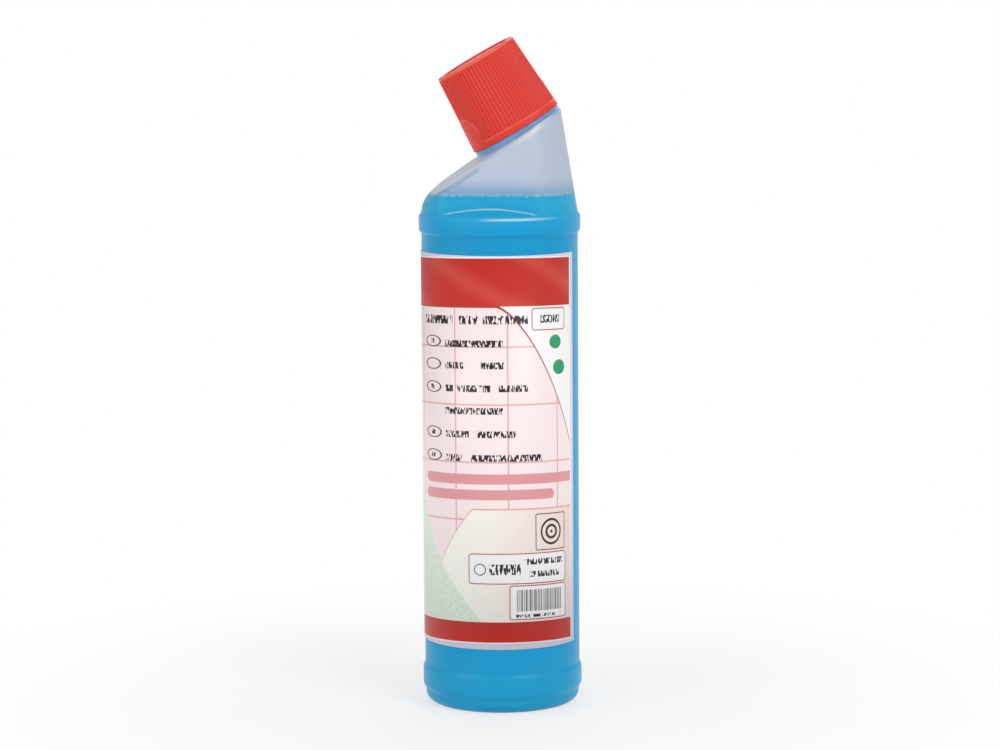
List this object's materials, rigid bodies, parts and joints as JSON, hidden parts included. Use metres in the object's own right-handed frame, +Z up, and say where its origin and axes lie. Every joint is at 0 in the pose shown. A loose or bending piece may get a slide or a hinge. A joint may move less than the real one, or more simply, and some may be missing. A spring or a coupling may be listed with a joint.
{
  "type": "toilet cleaner bottle",
  "caption": "Round squeeze bottle of toilet cleaner with an angled neck, a ribbed screw cap, a wrap label and blue liquid inside.",
  "frame": {"origin": "centre of the standing ring under the base, on the surface the bottle stands on", "axes": "+Z up along the bottle's body; -X is the chest side that the neck and cap lean towards; the label's main face looks along -Y"},
  "size_m": [0.0702, 0.0702, 0.2912],
  "materials": {
    "bottle_plastic": "satin",
    "liquid": "gloss",
    "nozzle_plastic": "satin",
    "liner_foam": "matte",
    "cap_plastic": "satin",
    "label_film": "satin",
    "header_print": "satin",
    "footer_print": "satin",
    "panel_print": "satin",
    "wedge_print": "satin",
    "bar_print": "satin",
    "cream_print": "satin"
  },
  "bodies": {
    "bottle": {"bottle": "bottle_plastic", "cleaning_liquid": "liquid", "nozzle_insert": "nozzle_plastic", "wrap_label": "label_film", "label_header_print": "header_print", "label_footer_print": "footer_print", "label_panel_print": "panel_print", "label_wedge_print": "wedge_print", "label_upper_bar_print": "bar_print", "label_lower_bar_print": "bar_print", "label_cream_print_near": "cream_print", "label_cream_print_far": "cream_print"},
    "liner": {"cap_liner": "liner_foam"},
    "cap": {"cap": "cap_plastic"}
  },
  "joints": [
    {"name": "cap_lift", "type": "slide", "parent": "bottle", "child": "liner", "axis": [-0.5, 0, 0.866], "range_m": [0, 0.045]},
    {"name": "cap_turn", "type": "hinge", "parent": "liner", "child": "cap", "pos_m": [0.0086, 0, 0.2497], "axis": [-0.5, 0, 0.866], "range_deg": [0, 450]}
  ]
}
